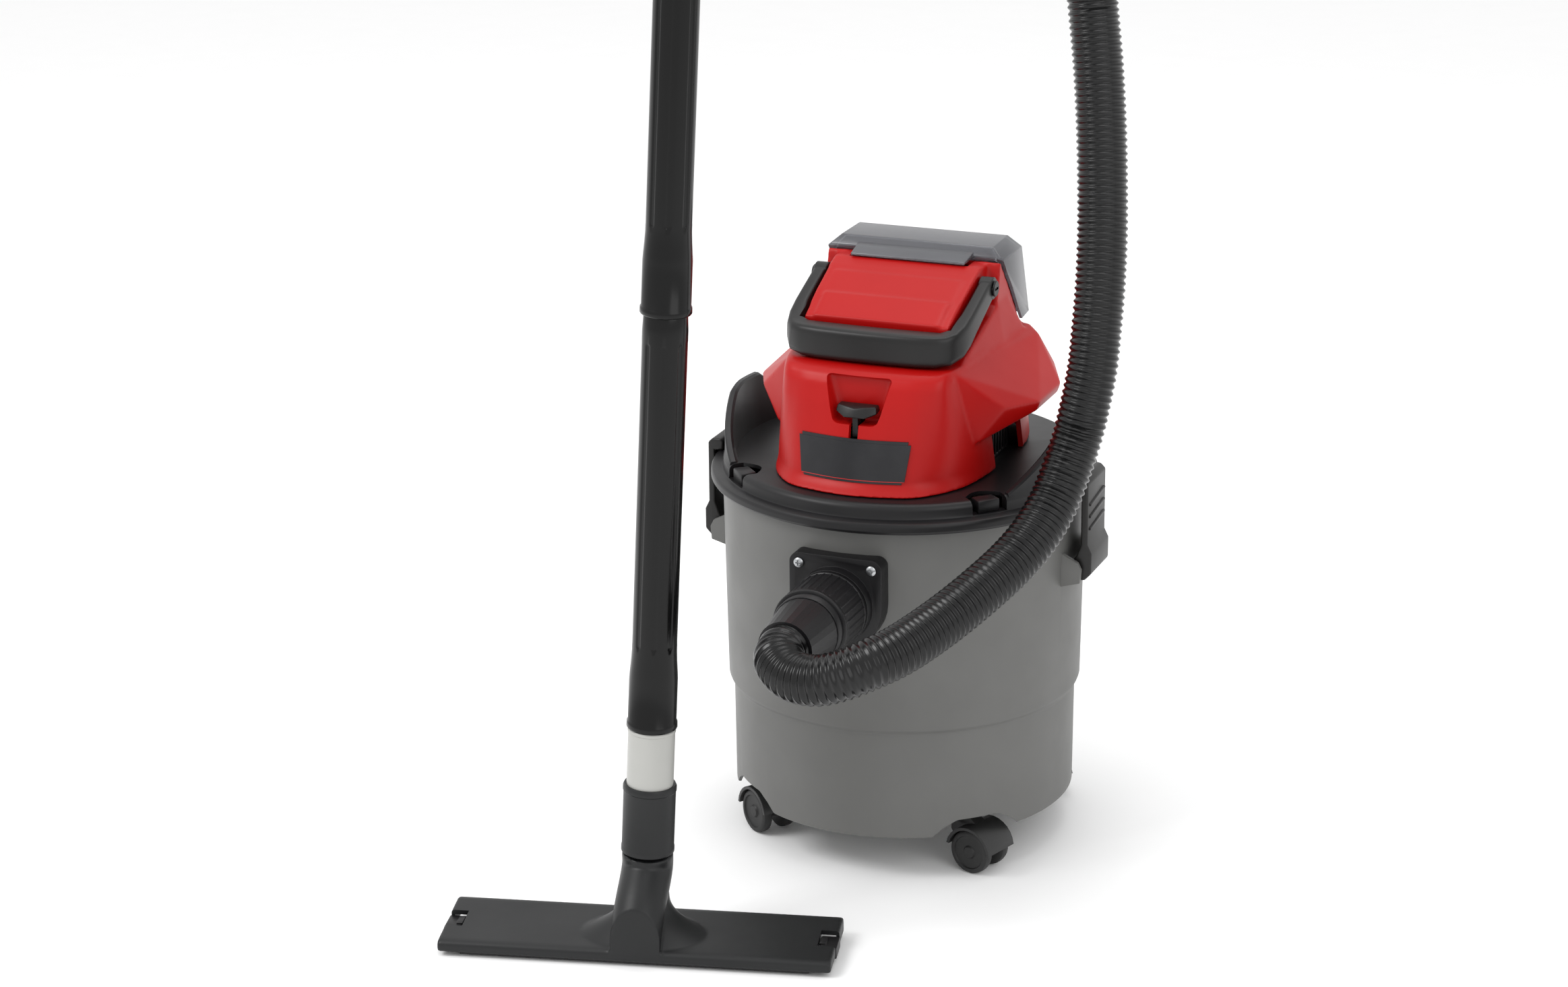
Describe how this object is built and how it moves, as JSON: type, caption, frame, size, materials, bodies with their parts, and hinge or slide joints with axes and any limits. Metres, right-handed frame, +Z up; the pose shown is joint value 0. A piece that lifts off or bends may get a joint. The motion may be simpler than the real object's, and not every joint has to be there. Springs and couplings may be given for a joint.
{
  "type": "cordless wet and dry shop vacuum",
  "caption": "Shop vacuum: grey drum on swivel casters, red motor head with carry handle and smoke battery cover, side latches, corrugated hose, tube wand and floor nozzle.",
  "frame": {"origin": "on the floor, under the middle of the standing set's footprint (vacuum, wand and nozzle, without the hose)", "axes": "+Z up, -Y towards the side with the hose inlet and the switch, +X to the right seen from that side"},
  "size_m": [0.4587, 0.543, 1.0605],
  "materials": {
    "drum_plastic": "moulded grey polypropylene, satin",
    "cowl_plastic": "moulded red ABS, satin gloss",
    "head_plastic": "moulded black polypropylene",
    "seal_rubber": "soft sealing ring",
    "label": "dark brushed foil plate",
    "switch_plastic": "moulded black",
    "handle_plastic": "moulded black nylon, satin",
    "battery_plastic": "moulded black",
    "button_plastic": "moulded red",
    "cover_plastic": "smoke-tinted translucent polycarbonate",
    "pin_steel": "zinc-plated steel",
    "latch_plastic": "moulded black",
    "inlet_plastic": "moulded black",
    "hose_plastic": "blown corrugated polyethylene, black",
    "stator_steel": "laminated steel",
    "rotor_metal": "copper windings on steel",
    "fan_plastic": "moulded nylon",
    "board": "coated circuit board",
    "cage_plastic": "moulded black",
    "filter_paper": "pleated filter paper",
    "filter_rubber": "moulded rubber end cap",
    "nozzle_plastic": "moulded black polypropylene",
    "squeegee_rubber": "wiper strip",
    "end_tube_plastic": "moulded light grey",
    "wand_plastic": "moulded black polypropylene, glossy",
    "slider_plastic": "moulded red",
    "caster_plastic": "moulded black nylon",
    "wheel_plastic": "moulded black wheel"
  },
  "bodies": {
    "drum": {"drum": "drum_plastic", "inlet_bracket": "inlet_plastic", "inlet_screw_left": "pin_steel", "inlet_screw_right": "pin_steel", "inlet_deflector": "inlet_plastic", "latch_pin_left": "pin_steel", "latch_pin_right": "pin_steel", "hose_cuff": "hose_plastic", "hose": "hose_plastic"},
    "head": {"head_base": "head_plastic", "head_seal": "seal_rubber", "cowl": "cowl_plastic", "label_plate": "label", "exhaust_grille_right": "head_plastic", "exhaust_grille_left": "head_plastic", "blower_port": "head_plastic", "handle_pivot_left": "handle_plastic", "handle_pivot_right": "handle_plastic", "battery_dock": "head_plastic", "cover_hinge_pin": "pin_steel", "motor_housing": "head_plastic", "motor_stator": "stator_steel", "control_board": "board", "filter_cage": "cage_plastic", "filter": "filter_paper", "filter_cap": "filter_rubber"},
    "latch_left": {"latch_left": "latch_plastic"},
    "latch_right": {"latch_right": "latch_plastic"},
    "rotor": {"motor_rotor": "rotor_metal", "fan_impeller": "fan_plastic"},
    "float": {"float_ball": "cage_plastic"},
    "handle": {"carry_handle": "handle_plastic"},
    "cover": {"battery_cover": "cover_plastic"},
    "battery": {"battery_pack": "battery_plastic", "battery_button": "button_plastic"},
    "switch": {"switch_rocker": "switch_plastic"},
    "collar": {"hose_collar": "inlet_plastic"},
    "wand": {"nozzle_collar": "nozzle_plastic", "end_tube": "end_tube_plastic", "wand_lower": "wand_plastic", "wand_upper": "wand_plastic", "hand_piece": "wand_plastic", "hose_end_cuff": "hose_plastic"},
    "slider": {"air_slider": "slider_plastic"},
    "nozzle": {"nozzle_body": "nozzle_plastic", "nozzle_insert": "nozzle_plastic", "squeegee_front": "squeegee_rubber", "squeegee_rear": "squeegee_rubber", "nozzle_clip_left": "nozzle_plastic", "nozzle_clip_right": "nozzle_plastic"},
    "caster_front_right": {"caster_hood_front_right": "caster_plastic"},
    "wheels_front_right": {"caster_wheels_front_right": "wheel_plastic"},
    "caster_front_left": {"caster_hood_front_left": "caster_plastic"},
    "wheels_front_left": {"caster_wheels_front_left": "wheel_plastic"},
    "caster_rear_right": {"caster_hood_rear_right": "caster_plastic"},
    "wheels_rear_right": {"caster_wheels_rear_right": "wheel_plastic"},
    "caster_rear_left": {"caster_hood_rear_left": "caster_plastic"},
    "wheels_rear_left": {"caster_wheels_rear_left": "wheel_plastic"}
  },
  "joints": [
    {"name": "head_lift", "type": "slide", "parent": "drum", "child": "head", "axis": [0, 0, 1], "range_m": [0, 0.22]},
    {"name": "latch_left_hinge", "type": "hinge", "parent": "drum", "child": "latch_left", "pos_m": [-0.10747, 0.11525, 0.24], "axis": [0, -1, 0], "range_deg": [0, 55]},
    {"name": "latch_right_hinge", "type": "hinge", "parent": "drum", "child": "latch_right", "pos_m": [0.19853, 0.11525, 0.24], "axis": [0, 1, 0], "range_deg": [0, 55]},
    {"name": "rotor_spin", "type": "hinge", "parent": "head", "child": "rotor", "pos_m": [0.04553, 0.11525, 0.35], "axis": [0, 0, 1], "continuous": true},
    {"name": "float_rise", "type": "slide", "parent": "head", "child": "float", "axis": [0, 0, 1], "range_m": [0, 0.06]},
    {"name": "handle_swing", "type": "hinge", "parent": "head", "child": "handle", "pos_m": [0.04553, 0.11525, 0.458], "axis": [-1, 0, 0], "range_deg": [0, 110]},
    {"name": "cover_hinge", "type": "hinge", "parent": "head", "child": "cover", "pos_m": [0.04553, 0.21125, 0.421], "axis": [-1, 0, 0], "range_deg": [0, 105]},
    {"name": "battery_slide", "type": "slide", "parent": "head", "child": "battery", "axis": [0, 0, 1], "range_m": [0, 0.06]},
    {"name": "switch_rock", "type": "hinge", "parent": "head", "child": "switch", "pos_m": [0.04553, 0.00725, 0.368], "axis": [0, 1, 0], "range_deg": [-8, 8]},
    {"name": "collar_turn", "type": "hinge", "parent": "drum", "child": "collar", "pos_m": [0.04553, -0.07475, 0.238], "axis": [0, -1, 0], "range_deg": [0, 30]},
    {"name": "caster_front_right_swivel", "type": "hinge", "parent": "drum", "child": "caster_front_right", "pos_m": [0.12553, 0.03525, 0.05], "axis": [0, 0, 1], "continuous": true},
    {"name": "caster_front_right_axle", "type": "hinge", "parent": "caster_front_right", "child": "wheels_front_right", "pos_m": [0.14082, 0.03052, 0.018], "axis": [0.2955, 0.9553, 0], "continuous": true},
    {"name": "caster_front_left_swivel", "type": "hinge", "parent": "drum", "child": "caster_front_left", "pos_m": [-0.03447, 0.03525, 0.05], "axis": [0, 0, 1], "continuous": true},
    {"name": "caster_front_left_axle", "type": "hinge", "parent": "caster_front_left", "child": "wheels_front_left", "pos_m": [-0.04729, 0.04483, 0.018], "axis": [-0.5985, -0.8011, 0], "continuous": true},
    {"name": "caster_rear_right_swivel", "type": "hinge", "parent": "drum", "child": "caster_rear_right", "pos_m": [0.12553, 0.19525, 0.05], "axis": [0, 0, 1], "continuous": true},
    {"name": "caster_rear_right_axle", "type": "hinge", "parent": "caster_rear_right", "child": "wheels_rear_right", "pos_m": [0.13994, 0.20221, 0.018], "axis": [-0.435, 0.9004, 0], "continuous": true},
    {"name": "caster_rear_left_swivel", "type": "hinge", "parent": "drum", "child": "caster_rear_left", "pos_m": [-0.03447, 0.19525, 0.05], "axis": [0, 0, 1], "continuous": true},
    {"name": "caster_rear_left_axle", "type": "hinge", "parent": "caster_rear_left", "child": "wheels_rear_left", "pos_m": [-0.04389, 0.20819, 0.018], "axis": [-0.8085, -0.5885, 0], "continuous": true},
    {"name": "wand_shift", "type": "slide", "parent": "drum", "child": "wand", "axis": [0.1736, -0.9848, 0], "range_m": [-0.03, 0.12], "deforming": ["hose"]},
    {"name": "air_slide", "type": "slide", "parent": "wand", "child": "slider", "axis": [0.0489, 0.019, 0.9986], "range_m": [0, 0.011]},
    {"name": "nozzle_turn", "type": "hinge", "parent": "wand", "child": "nozzle", "pos_m": [-0.05187, -0.18985, 0.0766], "axis": [0.0489, 0.019, 0.9986], "range_deg": [-30, 30]}
  ],
  "couplings": [
    {"joint": "latch_left_hinge", "follows": "head_lift", "rad_per_m": 4.36},
    {"joint": "latch_right_hinge", "follows": "head_lift", "rad_per_m": 4.36},
    {"joint": "battery_slide", "follows": "cover_hinge", "m_per_rad": 0.0327}
  ]
}
